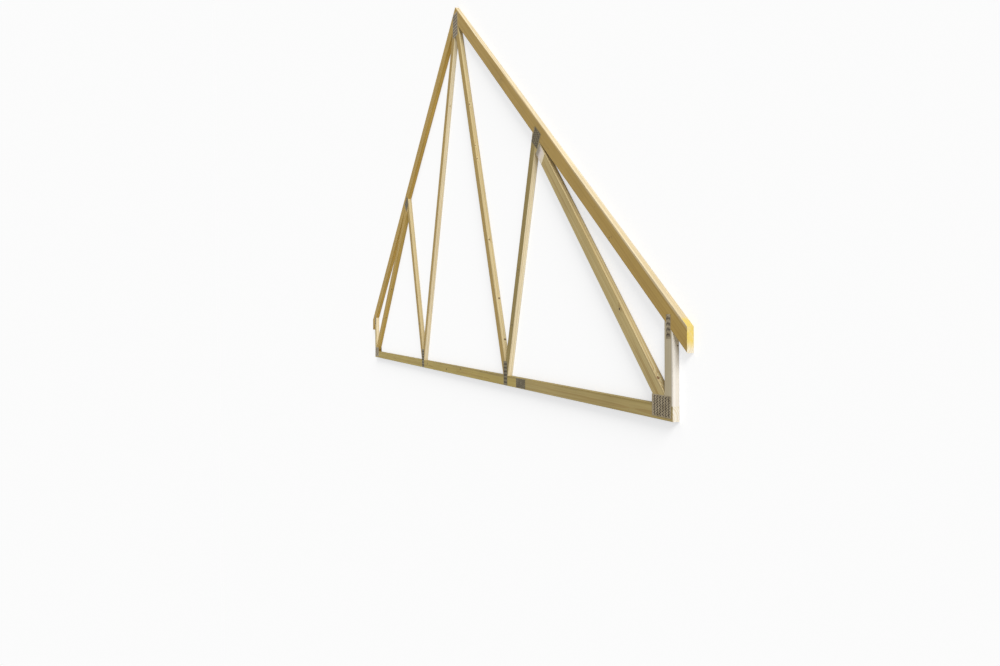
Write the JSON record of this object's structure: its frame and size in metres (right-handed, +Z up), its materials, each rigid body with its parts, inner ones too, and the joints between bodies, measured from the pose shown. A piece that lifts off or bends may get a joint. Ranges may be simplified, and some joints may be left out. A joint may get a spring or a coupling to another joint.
{
  "type": "wooden roof truss",
  "caption": "Triangular softwood roof truss with raised heels and W-shaped webs, joined by punched metal nail plates; carries a pitched roof and ceiling.",
  "frame": {"origin": "middle of the truss's bounding box at floor level, with the truss lying flat on its back face", "axes": "+X along the span towards the spliced end, +Y from the bottom chord up to the apex, +Z up through the timber's thickness"},
  "size_m": [6.84, 3.0228, 0.037],
  "materials": {
    "timber": "planed spruce, matte",
    "nail_plate": "galvanised, dull",
    "label_paper": "plain white paper, matte"
  },
  "bodies": {
    "root": {"bottom_chord_long": "timber", "bottom_chord_short": "timber", "rafter_left": "timber", "rafter_right": "timber", "long_web_left": "timber", "long_web_right": "timber", "short_web_left": "timber", "short_web_right": "timber", "diagonal_left": "timber", "diagonal_right": "timber", "heel_post_left": "timber", "heel_post_right": "timber", "apex_plate_front": "nail_plate", "apex_plate_back": "nail_plate", "splice_plate_front": "nail_plate", "splice_plate_back": "nail_plate", "middle_plate_left_front": "nail_plate", "middle_plate_left_back": "nail_plate", "middle_plate_right_front": "nail_plate", "middle_plate_right_back": "nail_plate", "node_plate_left_front": "nail_plate", "node_plate_left_back": "nail_plate", "node_plate_right_front": "nail_plate", "node_plate_right_back": "nail_plate", "heel_plate_left_front": "nail_plate", "heel_plate_left_back": "nail_plate", "heel_plate_right_front": "nail_plate", "heel_plate_right_back": "nail_plate", "post_plate_left_front": "nail_plate", "post_plate_left_back": "nail_plate", "post_plate_right_front": "nail_plate", "post_plate_right_back": "nail_plate"}
  },
  "joints": []
}
